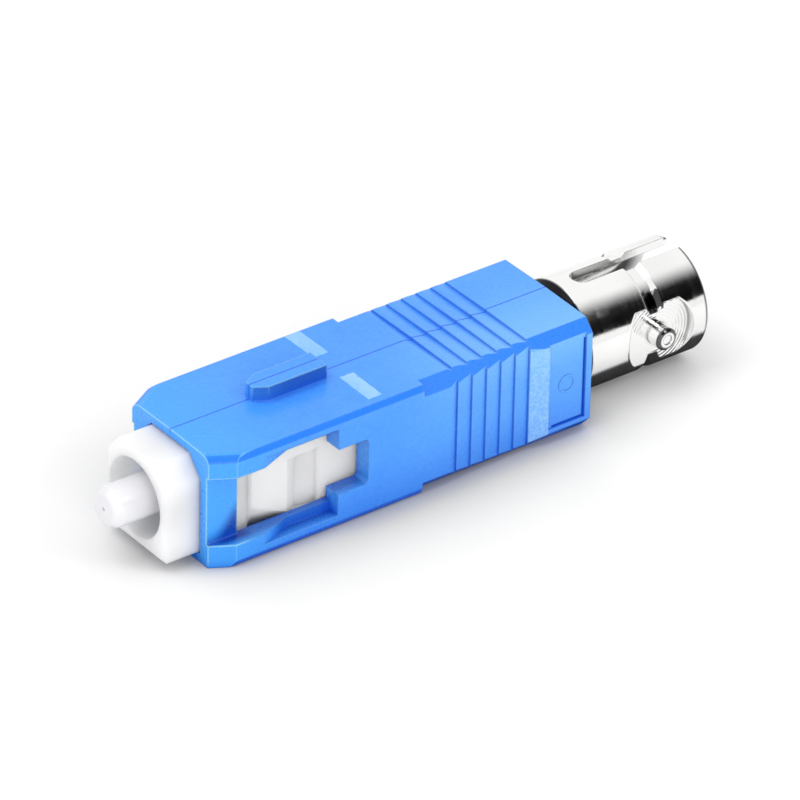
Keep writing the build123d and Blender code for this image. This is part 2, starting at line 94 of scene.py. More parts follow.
class Nodes:
    """A small helper that adds nodes to one tree and joins them."""

    def __init__(self, tree: bpy.types.NodeTree) -> None:
        """Keep the tree that the nodes go into."""
        self.tree = tree

    def fill(self, node: bpy.types.Node, inputs: Dict) -> None:
        """Set or join a node's inputs.

        Args:
            node: The node.
            inputs: Values or sockets, by the input's name or number.
        """
        for name, value in inputs.items():
            if isinstance(value, Socket):
                self.tree.links.new(value, node.inputs[name])
            else:
                node.inputs[name].default_value = value

    def add(self, kind: str, inputs: Dict = None, **settings) -> bpy.types.Node:
        """Add one node.

        Args:
            kind: The node's Blender type name.
            inputs: Values or sockets for its inputs, by name or number.
            settings: Properties of the node itself.

        Returns:
            The new node.
        """
        node = self.tree.nodes.new(kind)
        for name, value in settings.items():
            setattr(node, name, value)
        self.fill(node, inputs or {})
        return node

    def group(self, tree: bpy.types.NodeTree, **inputs: Value) -> Sequence[Socket]:
        """Put a shared effect into the tree and return its outputs."""
        return self.add("ShaderNodeGroup", inputs, node_tree=tree).outputs

    def maths(self, operation: str, *values: Value) -> Socket:
        """Add a Math node with the given operation and return its output."""
        return self.add("ShaderNodeMath", dict(enumerate(values)), operation=operation).outputs[0]

    def times(self, *values: Value) -> Socket:
        """Return the product of two or more values."""
        return reduce(lambda first, second: self.maths("MULTIPLY", first, second), values)

    def most(self, *values: Value) -> Socket:
        """Return the greatest of two or more values."""
        return reduce(lambda first, second: self.maths("MAXIMUM", first, second), values)

    def plus(self, first: Value, second: Value) -> Socket:
        """Return the sum of two values."""
        return self.maths("ADD", first, second)

    def minus(self, first: Value, second: Value) -> Socket:
        """Return the first value less the second."""
        return self.maths("SUBTRACT", first, second)

    def size(self, value: Value) -> Socket:
        """Return a value without its sign."""
        return self.maths("ABSOLUTE", value)

    def distance(self, first: Socket, second: Socket) -> Socket:
        """Return the square root of the sum of two squares."""
        return self.maths("SQRT", self.plus(self.times(first, first), self.times(second, second)))

    def vector(self, operation: str, *values: Socket) -> Socket:
        """Add a Vector Math node with the given operation and return its output."""
        return self.add("ShaderNodeVectorMath", dict(enumerate(values)), operation=operation).outputs[0]

    def split(self, vector: Socket) -> Tuple[Socket, ...]:
        """Return the three parts of a vector."""
        return tuple(self.add("ShaderNodeSeparateXYZ", {0: vector}).outputs)

    def place(self) -> Socket:
        """Return the Object coordinates."""
        return self.add("ShaderNodeTexCoord").outputs["Object"]

    def xyz(self) -> Tuple[Socket, ...]:
        """Return the three Object coordinates."""
        return self.split(self.place())

    def facing(self) -> Tuple[Socket, ...]:
        """Return the three parts of the flat face's normal, before any rounding."""
        return self.split(self.add("ShaderNodeNewGeometry").outputs["True Normal"])

    def rays(self) -> Sequence[Socket]:
        """Return the outputs of a Light Path node."""
        return self.add("ShaderNodeLightPath").outputs

    def noise(self, place: Socket, scale: Value, detail: Value = 2.0) -> Socket:
        """Return noise of the given scale and detail."""
        return self.add("ShaderNodeTexNoise", {"Vector": place, "Scale": scale, "Detail": detail}).outputs[0]

    def openness(self, distance: Value) -> Socket:
        """Return the open share of the surroundings within a distance."""
        node = self.add("ShaderNodeAmbientOcclusion", {"Distance": distance}, samples=OPEN_SAMPLES)
        return node.outputs["AO"]

    def bump(self, *values: Value) -> Socket:
        """Bend a normal. The values are height, distance, strength and, if it is rounded, the normal."""
        inputs = dict(zip(("Height", "Distance", "Strength", "Normal"), values))
        return self.add("ShaderNodeBump", inputs).outputs[0]

    def ramp(self, value: Value, span: Span, levels: Span, kind: str = "SMOOTHSTEP") -> Socket:
        """Map a value from a span to two levels, which hold beyond the span's ends.

        Args:
            value: The value.
            span: Where the ramp starts and ends.
            levels: What it gives at its start and at its end.
            kind: The Map Range node's interpolation.

        Returns:
            The mapped value.
        """
        inputs = zip(("Value", "From Min", "From Max", "To Min", "To Max"), (value, *span, *levels))
        return self.add("ShaderNodeMapRange", dict(inputs), interpolation_type=kind).outputs["Result"]

    def rise(self, value: Value, span: Span) -> Socket:
        """Return a smooth ramp from 0 to 1."""
        return self.ramp(value, span, (0.0, 1.0))

    def fall(self, value: Value, span: Span) -> Socket:
        """Return a smooth ramp from 1 to 0."""
        return self.ramp(value, span, (1.0, 0.0))

    def mix(self, factor: Value, *tones: Tone) -> Socket:
        """Mix two colours by the share of the second."""
        tones = [tone if isinstance(tone, Socket) else (*tone, 1.0) for tone in tones]
        inputs = {"Factor": factor, **dict(zip(MIX_IN, tones))}
        return self.add("ShaderNodeMix", inputs, data_type="RGBA").outputs[MIX_OUT]

    def layers(self, base: Tone, *layers: Tuple[Socket, Colour]) -> Socket:
        """Lay colours over a base, one over the other.

        Args:
            base: The lowest colour.
            layers: Mask and colour of each layer.

        Returns:
            The colour.
        """
        for mask, colour in layers:
            base = self.mix(mask, base, colour)
        return base


def new_group(
    name: str, inputs: Sequence[Tuple], outputs: Sequence[str]
) -> Tuple[Nodes, Sequence[Socket], bpy.types.Node]:
    """Make an empty shader node group.

    Args:
        name: The group's name.
        inputs: Name and default value of each input, which is a vector where its value is three numbers.
        outputs: Name of each output, which is a vector where it is a normal.

    Returns:
        The group's helper, the values given to it, and its output node.
    """
    tree = bpy.data.node_groups.new(name, "ShaderNodeTree")
    for label, value in inputs:
        kind = "NodeSocketVector" if isinstance(value, tuple) else "NodeSocketFloat"
        tree.interface.new_socket(label, in_out="INPUT", socket_type=kind).default_value = value
    for label in outputs:
        kind = "NodeSocketVector" if label == "Normal" else "NodeSocketFloat"
        tree.interface.new_socket(label, in_out="OUTPUT", socket_type=kind)
    nodes = Nodes(tree)
    return nodes, nodes.add("NodeGroupInput").outputs, nodes.add("NodeGroupOutput")


def grain_group() -> bpy.types.NodeTree:
    """Fine moulded or cast grain.

    Returns:
        A group whose Height is two scales of noise added up, and whose Mottle is a slow noise.
    """
    coarse_scale, slow_scale, coarse_height = 0.22, 0.05, 0.6
    nodes, given, result = new_group(
        "surface_grain", [("Scale", 4000.0), ("Detail", 3.0)], ["Height", "Mottle"]
    )
    place = nodes.place()
    fine = nodes.noise(place, given["Scale"], given["Detail"])
    coarse = nodes.noise(place, nodes.times(given["Scale"], coarse_scale))
    slow = nodes.noise(place, nodes.times(given["Scale"], slow_scale))
    nodes.fill(result, {"Height": nodes.plus(fine, nodes.times(coarse, coarse_height)), "Mottle": slow})
    return nodes.tree


def edge_group() -> bpy.types.NodeTree:
    """Rounded edges and a mask of where they are.

    Returns:
        A group whose Normal is rounded over the radius, and whose Edge grows from 0 on flat faces
        to 1 where the rounded normal leaves the flat one most.
    """
    least_bend = 0.01
    nodes, given, result = new_group(
        "rounded_edge", [("Radius", 0.1 * MM), ("Reach", 0.25)], ["Normal", "Edge"]
    )
    normal = nodes.add("ShaderNodeBevel", {"Radius": given["Radius"]}, samples=EDGE_SAMPLES).outputs[0]
    flat = nodes.add("ShaderNodeNewGeometry").outputs["Normal"]
    same = nodes.add("ShaderNodeVectorMath", {0: normal, 1: flat}, operation="DOT_PRODUCT").outputs["Value"]
    edge = nodes.ramp(nodes.minus(1.0, same), (least_bend, given["Reach"]), (0.0, 1.0), "LINEAR")
    nodes.fill(result, {"Normal": normal, "Edge": edge})
    return nodes.tree


def box_mask_group() -> bpy.types.NodeTree:
    """A mask that is 1 inside a box in the object's own frame and 0 outside it.

    Returns:
        A group with the box's middle and half sizes as inputs, and a soft rim of the given width.
    """
    nodes, given, result = new_group(
        "box_mask", [("Middle", (0.0, 0.0, 0.0)), ("Half", mm(1, 1, 1)), ("Soft", 0.02 * MM)], ["Mask"]
    )
    size = nodes.vector("ABSOLUTE", nodes.vector("SUBTRACT", nodes.place(), given["Middle"]))
    furthest = nodes.most(*nodes.split(nodes.vector("SUBTRACT", size, given["Half"])))
    nodes.fill(result, {"Mask": nodes.ramp(furthest, (0.0, given["Soft"]), (1.0, 0.0), "LINEAR")})
    return nodes.tree


def ring_group() -> bpy.types.NodeTree:
    """Fine rings left by a cutter.

    Returns:
        A group whose Height is a sine wave over the Distance from an axis through Centre along Y.
    """
    nodes, given, result = new_group(
        "cutter_rings", [("Centre", (0.0, 0.0, 0.0)), ("Pitch", 0.1 * MM)], ["Height", "Distance"]
    )
    x, _, z = nodes.split(nodes.vector("SUBTRACT", nodes.place(), given["Centre"]))
    distance = nodes.distance(x, z)
    turns = nodes.maths("DIVIDE", distance, given["Pitch"])
    nodes.fill(result, {"Height": nodes.maths("SINE", nodes.times(turns, 2 * np.pi)), "Distance": distance})
    return nodes.tree


def crease_group() -> bpy.types.NodeTree:
    """A mask of inner corners and narrow grooves, for painted shade.

    Returns:
        A group whose Crease grows from 0 to 1 as less of the surroundings within the reach is open.
    """
    closed_span = (0.2, 0.72)
    nodes, given, result = new_group("crease", [("Reach", 0.3 * MM)], ["Crease"])
    closed = nodes.minus(1.0, nodes.openness(given["Reach"]))
    nodes.fill(result, {"Crease": nodes.rise(closed, closed_span)})
    return nodes.tree


@dataclass(frozen=True)
class Groups:
    """The shared effects, built once."""

    grain: bpy.types.NodeTree
    edge: bpy.types.NodeTree
    box_mask: bpy.types.NodeTree
    rings: bpy.types.NodeTree
    crease: bpy.types.NodeTree

    @staticmethod
    def build() -> "Groups":
        """Build every group."""
        return Groups(grain_group(), edge_group(), box_mask_group(), ring_group(), crease_group())


def new_material(name: str) -> Tuple[bpy.types.Material, Nodes, bpy.types.Node]:
    """Make a material with one Principled shader.

    Args:
        name: The material's name.

    Returns:
        The material, its helper and its shader node.
    """
    material = bpy.data.materials.new(name)
    material.use_nodes = True
    nodes = Nodes(material.node_tree)
    shader = next(node for node in material.node_tree.nodes if node.type == "BSDF_PRINCIPLED")
    return material, nodes, shader


@dataclass(frozen=True)
class HousingPlastic:
    """Blue moulded plastic of the grip housing, with its parting line and rough strips.

    The shaded, bevel, pale, low, front and edge colours paint shade and light that the photograph shows
    and the soft studio light doesn't give. They aren't known marks on the real part.
    """

    groups: Groups
    colour: Colour = from_srgb(67, 153, 251)
    deep_colour: Colour = from_srgb(61, 148, 250)
    low_colour: Colour = from_srgb(34, 116, 240)
    front_colour: Colour = from_srgb(62, 170, 252)
    shaded_colour: Colour = from_srgb(3, 52, 162)
    bevel_colour: Colour = from_srgb(22, 122, 244)
    pale_colour: Colour = from_srgb(124, 191, 253)
    edge_colour: Colour = from_srgb(160, 226, 255)
    crease_colour: Colour = from_srgb(8, 88, 228)
    strip_colour: Colour = from_srgb(158, 209, 255)
    bounce_colour: Colour = (0.37, 0.39, 0.42)
    edge_radius: float = 0.16 * MM
    grain_scale: float = 4600.0
    sheen_scale: float = 3200.0
    speck_scale: float = 6000.0
    seam_width: float = 0.06 * MM
    seam_floor: float = 3.4 * MM
    strip: Span = mm(22.05, 23.3)
    strip_middle: float = -0.6 * MM
    strip_half: float = 3.5 * MM
    low_height: Span = mm(-3.5, 0.5)
    front_length: Span = mm(0.0, 7.0)
    window_middle: Point = mm(6.9, 0.0, 0.0)
    window_half: Point = mm(4.9, 4.4, 2.7)

    def seam_mask(self, nodes: Nodes) -> Socket:
        """Find the parting line, a thin strip in the upright plane through the axis.

        Args:
            nodes: The material's helper.

        Returns:
            The mask.
        """
        _, y, z = nodes.xyz()
        thin = nodes.fall(nodes.size(y), (0.4 * self.seam_width, self.seam_width))
        high = nodes.rise(nodes.size(z), (self.seam_floor, self.seam_floor + 0.02 * MM))
        return nodes.times(thin, high)

    def strip_mask(self, nodes: Nodes) -> Socket:
        """Find the rough strip on each side, just ahead of the rear panel.

        Args:
            nodes: The material's helper.

        Returns:
            The mask.
        """
        low, high = self.strip
        box = nodes.group(
            self.groups.box_mask,
            Middle=((low + high) / 2, 0.0, self.strip_middle),
            Half=((high - low) / 2, 6 * MM, self.strip_half),
        )
        return nodes.times(box["Mask"], nodes.rise(nodes.size(nodes.xyz()[1]), mm(4.0, 4.1)))

    def bevel_mask(self, nodes: Nodes) -> Socket:
        """Find the slanted corner faces, which get painted shade that makes them deeper in colour.

        A face counts by the smaller of its upright and sideways shares: a flat side or top has none.

        Args:
            nodes: The material's helper.

        Returns:
            The mask.
        """
        _, sideways, upright = nodes.facing()
        return nodes.rise(nodes.maths("MINIMUM", nodes.size(upright), nodes.size(sideways)), (0.22, 0.42))

    def shaded_mask(self, nodes: Nodes) -> Socket:
        """Paint shade on the faces set back under the window and on the key's sides.

        Args:
            nodes: The material's helper.

        Returns:
            The mask.
        """
        x, y, z = nodes.xyz()
        forward, sideways, upright = nodes.facing()
        top = nodes.ramp(x, mm(0.4, 2.4), mm(-0.2, 1.5))
        sunk = nodes.times(
            nodes.fall(nodes.size(y), mm(3.75, 4.4)),
            nodes.fall(nodes.minus(z, top), mm(-2.6, -1.0)),
            nodes.fall(nodes.size(forward), (0.4, 0.48)),
            nodes.ramp(x, mm(10.0, 11.5), (0.92, 0.0)),
            nodes.rise(upright, (-0.8, -0.5)),
            nodes.ramp(x, mm(2.2, 3.2), (1.0, 0.62)),
        )
        key = nodes.times(
            nodes.rise(z, mm(3.6, 3.8)),
            nodes.rise(nodes.size(sideways), (0.5, 0.9)),
            nodes.ramp(x, mm(5.0, 8.0), (0.5, 0.75)),
        )
        return nodes.most(sunk, key)

    def painted_sheen_mask(self, nodes: Nodes) -> Socket:
        """Find the grip's rear top, which gets a painted sheen that makes it paler.

        Args:
            nodes: The material's helper.

        Returns:
            The mask.
        """
        x, y, z = nodes.xyz()
        return nodes.times(
            nodes.rise(x, mm(10.0, 24.0)),
            nodes.ramp(y, mm(-4.0, 2.5), (0.66, 0.1)),
            nodes.ramp(z, mm(0.5, 3.3), (0.3, 1.0)),
        )

    def edge_light(self, nodes: Nodes, crease: Socket) -> Socket:
        """Give the painted edge highlight: most at the front, half at the key's top, little elsewhere.

        Args:
            nodes: The material's helper.
            crease: The mask of inner corners, which stay dark.

        Returns:
            The share of the edge colour.
        """
        x, _, z = nodes.xyz()
        front = nodes.ramp(x, mm(1.6, 2.8), (1.0, 0.13))
        key = nodes.ramp(z, mm(3.9, 4.3), (0.0, 0.5))
        return nodes.times(nodes.most(front, key), nodes.fall(crease, (0.05, 0.4)))

    def bounce_mask(self, nodes: Nodes) -> Socket:
        """Find the soft light that leaves the housing.

        It is made grey, so that the floor and the white frame aren't tinted blue. Light that stays
        within a groove keeps its colour, except in the window.

        Args:
            nodes: The material's helper.

        Returns:
            The mask.
        """
        rays = nodes.rays()
        window = nodes.group(self.groups.box_mask, Middle=self.window_middle, Half=self.window_half)
        far = nodes.most(nodes.rise(rays["Ray Length"], mm(0.7, 2.2)), window["Mask"])
        return nodes.times(rays["Is Diffuse Ray"], far)

    def build(self) -> bpy.types.Material:
        """Build the material.

        Returns:
            The new material.
        """
        material, nodes, shader = new_material("housing_plastic")
        x, _, z = nodes.xyz()
        grain = nodes.group(self.groups.grain, Scale=self.grain_scale)
        edge = nodes.group(self.groups.edge, Radius=self.edge_radius, Reach=0.09)
        crease = nodes.group(self.groups.crease, Reach=1.0 * MM)["Crease"]
        seam = self.seam_mask(nodes)
        strip = self.strip_mask(nodes)
        speck = nodes.noise(nodes.place(), self.speck_scale)
        sheen = nodes.noise(nodes.place(), self.sheen_scale)
        tone = nodes.layers(
            self.colour,
            (nodes.rise(grain["Mottle"], NOISE_SPAN), self.deep_colour),
            (nodes.ramp(sheen, (0.3, 0.75), (0.0, 0.1)), self.pale_colour),
            # painted sheen: paler towards the grip's rear top
            (self.painted_sheen_mask(nodes), self.pale_colour),
            # painted shade: deeper blue towards the bottom of the housing
            (nodes.ramp(z, self.low_height, (0.5, 0.0)), self.low_colour),
            # painted light: paler and more cyan towards the front
            (nodes.ramp(x, self.front_length, (0.6, 0.0)), self.front_colour),
            (self.shaded_mask(nodes), self.shaded_colour),
            # painted shade: deeper colour on the slanted corner faces
            (nodes.times(self.bevel_mask(nodes), 0.9), self.bevel_colour),
            (nodes.times(strip, nodes.ramp(speck, NOISE_SPAN, (0.35, 0.72))), self.strip_colour),
            # painted highlight on the edges
            (nodes.times(edge["Edge"], self.edge_light(nodes, crease)), self.edge_colour),
            # painted shade in inner corners and narrow grooves, with the dark parting line
            (nodes.most(nodes.times(crease, 0.75), nodes.times(seam, 0.9)), self.crease_colour),
            (self.bounce_mask(nodes), self.bounce_colour),
        )
        relief = nodes.plus(nodes.times(grain["Height"], 0.05), nodes.times(strip, speck, 2.2))
        relief = nodes.minus(relief, nodes.times(seam, 1.2))
        rough = nodes.ramp(grain["Height"], GRAIN_SPAN, (0.24, 0.34))
        nodes.fill(shader, {
            "Base Color": tone,
            "Normal": nodes.bump(relief, 0.02 * MM, 0.6, edge["Normal"]),
            "Roughness": nodes.plus(rough, nodes.times(strip, 0.25)),
            "Specular IOR Level": 0.4,
        })
        return material


@dataclass(frozen=True)
class PrintInk:
    """Pale blue of the bars on the top face, with pinholes and thin places."""

    groups: Groups
    colour: Colour = from_srgb(150, 202, 254)
    thin_colour: Colour = from_srgb(124, 188, 253)
    pinhole_colour: Colour = from_srgb(84, 162, 251)

    def build(self) -> bpy.types.Material:
        """Build the material.

        Returns:
            The new material.
        """
        material, nodes, shader = new_material("print_ink")
        grain = nodes.group(self.groups.grain, Scale=9000.0)
        holes = nodes.noise(nodes.place(), 7000.0, 3.0)
        nodes.fill(shader, {
            "Base Color": nodes.layers(
                self.colour,
                (nodes.ramp(grain["Mottle"], (0.35, 0.65), (0.0, 0.7)), self.thin_colour),
                (nodes.ramp(holes, (0.64, 0.7), (0.0, 0.8)), self.pinhole_colour),
            ),
            "Normal": nodes.bump(grain["Height"], 0.004 * MM, 0.4),
            "Roughness": nodes.ramp(grain["Height"], GRAIN_SPAN, (0.3, 0.42)),
            "Specular IOR Level": 0.4,
        })
        return material


@dataclass(frozen=True)
class FramePlastic:
    """White moulded plastic of the plug frame, a little translucent."""

    groups: Groups
    colour: Colour = from_srgb(251, 251, 253)
    shade: Colour = from_srgb(246, 246, 249)
    edge_colour: Colour = from_srgb(252, 252, 254)
    crease_colour: Colour = from_srgb(150, 148, 152)
    pocket_colour: Colour = from_srgb(96, 94, 98)
    pocket: Span = mm(3.3, 7.4)
    pocket_foot: Span = mm(-2.35, -1.6)
    light_depth: float = 2.2 * MM

    def pocket_mask(self, nodes: Nodes) -> Socket:
        """Paint shade on the latch pocket's slanted floor, darkest at its lower front corner.

        Args:
            nodes: The material's helper.

        Returns:
            The mask.
        """
        _, sideways, upright = nodes.facing()
        x, _, z = nodes.xyz()
        start, end = self.pocket
        return nodes.times(
            nodes.rise(nodes.size(upright), (0.1, 0.2)),
            nodes.rise(nodes.size(sideways), (0.6, 0.8)),
            nodes.ramp(z, self.pocket_foot, (0.75, 0.0)),
            nodes.rise(x, (start, start + 0.3 * MM)),
            nodes.fall(x, (start + 1.5 * MM, end)),
        )

    def build(self) -> bpy.types.Material:
        """Build the material.

        Returns:
            The new material.
        """
        material, nodes, shader = new_material("frame_plastic")
        grain = nodes.group(self.groups.grain, Scale=4200.0)
        edge = nodes.group(self.groups.edge, Radius=0.18 * MM, Reach=0.2)
        crease = nodes.group(self.groups.crease, Reach=0.5 * MM)["Crease"]
        nodes.fill(shader, {
            "Base Color": nodes.layers(
                self.colour,
                (nodes.rise(grain["Mottle"], NOISE_SPAN), self.shade),
                # painted highlight on the edges
                (nodes.times(edge["Edge"], 0.6), self.edge_colour),
                # painted shade in inner corners
                (nodes.times(crease, 0.2), self.crease_colour),
                (self.pocket_mask(nodes), self.pocket_colour),
            ),
            "Normal": nodes.bump(grain["Height"], 0.01 * MM, 0.2, edge["Normal"]),
            "Roughness": nodes.ramp(grain["Height"], GRAIN_SPAN, (0.36, 0.44)),
            "Subsurface Weight": 0.8,
            "Subsurface Radius": (1.0, 1.0, 1.0),
            "Subsurface Scale": self.light_depth,
        })
        return material


@dataclass(frozen=True)
class PolishedCeramic:
    """White ceramic of the ferrules and the split sleeve, smooth and slightly glossy."""

    groups: Groups
    name: str = "polished_ceramic"
    colour: Colour = from_srgb(238, 238, 241)
    shade: Colour = from_srgb(229, 229, 234)
    roughness: Span = (0.12, 0.2)

    def build(self) -> bpy.types.Material:
        """Build the material.

        Returns:
            The new material.
        """
        material, nodes, shader = new_material(self.name)
        grain = nodes.group(self.groups.grain, Scale=6000.0)
        edge = nodes.group(self.groups.edge, Radius=0.06 * MM, Reach=0.3)
        nodes.fill(shader, {
            "Base Color": nodes.mix(nodes.rise(grain["Mottle"], NOISE_SPAN), self.colour, self.shade),
            "Normal": nodes.bump(grain["Height"], 0.002 * MM, 0.3, edge["Normal"]),
            "Roughness": nodes.ramp(grain["Height"], GRAIN_SPAN, self.roughness),
        })
        return material


@dataclass(frozen=True)
class MetalLook:
    """What sets one metal finish apart from another."""

    name: str
    colour: Colour
    shade: Colour
    roughness: Span
    has_lugs: bool = False


class Metal(Enum):
    """The metal finishes. Which metal or plating the real pieces have isn't known."""

    BARREL = MetalLook("nickel_plate", from_srgb(250, 250, 249), from_srgb(243, 243, 242), (0.08, 0.16), True)
    TURNED = MetalLook("turned_metal", from_srgb(250, 250, 249), from_srgb(243, 243, 242), (0.22, 0.34))
    WIRE = MetalLook("spring_wire", from_srgb(178, 180, 184), from_srgb(160, 162, 168), (0.2, 0.3))
    INSERT = MetalLook("insert_metal", from_srgb(190, 188, 184), from_srgb(172, 170, 166), (0.2, 0.3))


@dataclass(frozen=True)
class PlatedMetal:
    """Bright turned metal, with lathe lines and, on the barrel, the rings of the lug's cutter.

    The barrel's dark root, rim, corners, lug line and patch paint shade that the photograph shows.
    """

    groups: Groups
    metal: Metal
    dark_colour: Colour = from_srgb(38, 38, 40)
    corner_colour: Colour = from_srgb(52, 52, 54)
    stretch: Point = (9000.0, 160.0, 160.0)
    wave_scale: float = 420.0
    waviness: float = 12.0
    lathe_pitch: float = 0.07 * MM
    ring_pitch: float = 0.22 * MM
    ring_rise: Span = mm(30.7, 33.0)
    lug_at: float = 32.2 * MM
    root: Span = mm(27.13, 27.25)
    rim: Span = mm(35.4, 35.5)
    rim_radius: Span = mm(3.3, 3.36)
    waist: Span = mm(31.5, 32.6)
    patch: Tuple[float, ...] = (25.0, 29.0, 42.0, 50.0)

    def patch_mask(self, nodes: Nodes) -> Socket:
        """Find the dark patch that the photograph shows in the waist just above the lug.

        What it is on the real part isn't known: it may be a reflection. It is painted above both lugs.

        Args:
            nodes: The material's helper.

        Returns:
            The mask, between two angles up from the side, with a ragged edge.
        """
        x, y, z = nodes.xyz()
        ragged = nodes.ramp(nodes.noise(nodes.place(), 2600.0), NOISE_SPAN, (-0.09, 0.09))
        turn = nodes.plus(nodes.maths("ARCTAN2", z, nodes.size(y)), ragged)
        start, full, fading, end = (float(np.radians(angle)) for angle in self.patch)
        low, high = self.waist
        return nodes.times(
            nodes.rise(turn, (start, full)),
            nodes.fall(turn, (fading, end)),
            nodes.rise(x, (low - 0.1 * MM, low)),
            nodes.ramp(x, (high, high + 0.1 * MM), (0.95, 0.0)),
        )

    def lug_tone(self, nodes: Nodes, rings: Sequence[Socket], tone: Socket) -> Socket:
        """Paint shade: the barrel's root, rim and inner corners, the line round the lug's end, the patch.

        Args:
            nodes: The material's helper.
            rings: Outputs of the cutter's rings.
            tone: The plain metal's colour.

        Returns:
            The colour.
        """
        x, y, z = nodes.xyz()
        rim = nodes.times(
            nodes.ramp(x, self.rim, (0.0, 0.8)),
            nodes.rise(nodes.distance(y, z), self.rim_radius),
            nodes.ramp(nodes.facing()[0], (0.85, 0.97), (1.0, 0.1)),
        )
        crease = nodes.group(self.groups.crease, Reach=0.45 * MM)["Crease"]
        lug_end = nodes.rise(nodes.size(y), mm(3.8, 3.86))
        lug_line = nodes.times(lug_end, nodes.rise(rings["Distance"], mm(0.44, 0.52)))
        return nodes.layers(
            tone,
            (nodes.most(nodes.times(crease, 0.7), nodes.times(lug_line, 0.9)), self.corner_colour),
            (self.patch_mask(nodes), self.dark_colour),
            (nodes.most(nodes.fall(x, self.root), rim), self.dark_colour),
        )

    def lug_relief(self, nodes: Nodes, rings: Sequence[Socket], relief: Socket) -> Socket:
        """Put the cutter's rings on the flat spot round each lug, in the place of the lathe's lines.

        Args:
            nodes: The material's helper.
            rings: Outputs of the cutter's rings.
            relief: The lathe's relief.

        Returns:
            The relief.
        """
        x, y, _ = nodes.xyz()
        spot = nodes.fall(rings["Distance"], mm(2.4, 2.5))
        spot = nodes.times(spot, nodes.rise(nodes.size(y), mm(2.96, 2.98)))
        clear = nodes.rise(rings["Distance"], mm(1.0, 1.1))
        deep = nodes.times(clear, nodes.ramp(x, self.ring_rise, (1.0, 3.6)))
        lathe = nodes.times(relief, nodes.minus(1.0, spot))
        return nodes.plus(lathe, nodes.times(rings["Height"], deep, spot))

    def build(self) -> bpy.types.Material:
        """Build the material.

        Returns:
            The new material.
        """
        look = self.metal.value
        material, nodes, shader = new_material(look.name)
        place = nodes.place()
        grain = nodes.group(self.groups.grain, Scale=5000.0)
        edge = nodes.group(self.groups.edge, Radius=0.08 * MM, Reach=0.3)
        tone = nodes.mix(nodes.rise(grain["Mottle"], NOISE_SPAN), look.colour, look.shade)
        lathe = nodes.maths("SINE", nodes.times(nodes.xyz()[0], 2 * np.pi / self.lathe_pitch))
        stretched = nodes.add("ShaderNodeMapping", {"Vector": place, "Scale": self.stretch}).outputs[0]
        uneven = nodes.noise(stretched, 1.0, 3.0)
        relief = nodes.plus(nodes.times(lathe, 0.25), nodes.times(uneven, 0.8))
        relief = nodes.plus(relief, nodes.times(nodes.noise(place, self.wave_scale, 1.0), self.waviness))
        if look.has_lugs:
            rings = nodes.group(self.groups.rings, Centre=(self.lug_at, 0.0, 0.0), Pitch=self.ring_pitch)
            tone = self.lug_tone(nodes, rings, tone)
            relief = self.lug_relief(nodes, rings, relief)
        nodes.fill(shader, {
            "Base Color": tone,
            "Metallic": 1.0,
            "Normal": nodes.bump(relief, 0.004 * MM, 0.7, edge["Normal"]),
            "Roughness": nodes.ramp(uneven, NOISE_SPAN, look.roughness),
        })
        return material


@dataclass(frozen=True)
class GlassFibre:
    """The fibre: pale glass with a slightly darker core seen at its cut end."""

    groups: Groups
    colour: Colour = from_srgb(205, 210, 216)
    core: Colour = from_srgb(188, 190, 194)
    core_radius: Span = mm(0.008, 0.02)

    def build(self) -> bpy.types.Material:
        """Build the material.

        Returns:
            The new material.
        """
        material, nodes, shader = new_material("glass_fibre")
        _, y, z = nodes.xyz()
        core = nodes.fall(nodes.distance(y, z), self.core_radius)
        grain = nodes.group(self.groups.grain, Scale=8000.0)
        nodes.fill(shader, {
            "Base Color": nodes.mix(core, self.colour, self.core),
            "Roughness": nodes.ramp(grain["Height"], GRAIN_SPAN, (0.05, 0.12)),
        })
        return material


def link_mesh(name: str, points: np.ndarray, faces: np.ndarray) -> bpy.types.Object:
    """Put a numpy surface into the scene.

    Args:
        name: The object's name.
        points: Its corners, one row each, in the object's own frame.
        faces: Its four-sided faces, one row of corner numbers each.

    Returns:
        The new object, at the origin.
    """
    mesh = bpy.data.meshes.new(name)
    mesh.from_pydata(points.tolist(), [], faces.tolist())
    surface = bpy.data.objects.new(name, mesh)
    bpy.context.scene.collection.objects.link(surface)
    return surface


def make_piece(
    name: str, points: np.ndarray, faces: np.ndarray, material: bpy.types.Material, crease: float
) -> bpy.types.Object:
    """Make a piece of the model from a numpy surface.

    Args:
        name: The piece's name.
        points: Its corners.
        faces: Its four-sided faces.
        material: Its material.
        crease: Angle in degrees past which an edge stays sharp.

    Returns:
        The new object, smooth between its creases.
    """
    piece = link_mesh(name, points, faces)
    piece.data.polygons.foreach_set("use_smooth", np.ones(len(faces), bool))
    piece.data.set_sharp_from_angle(angle=float(np.radians(crease)))
    piece.data.materials.append(material)
    LOG.info("made %s with %d faces", name, len(faces))
    return piece


def grid_faces(rows: int, columns: int) -> np.ndarray:
    """Number the four-sided faces of a grid of points.

    Args:
        rows: Rows of points.
        columns: Points in each row.

    Returns:
        Corner numbers of each face: n, n + 1, n + columns + 1 and n + columns.
    """
    start = (np.arange(rows - 1)[:, None] * columns + np.arange(columns - 1)[None, :]).ravel()
    return np.stack([start, start + 1, start + columns + 1, start + columns], axis=1)


def dress(node: str, material: bpy.types.Material) -> None:
    """Give a CAD node one material in all its slots.

    Args:
        node: The node's name.
        material: The material.
    """
    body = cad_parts[node]
    if not body.material_slots:
        body.data.materials.append(material)
    for place in body.material_slots:
        place.material = material
    LOG.info("dressed %s with %s", node, material.name)


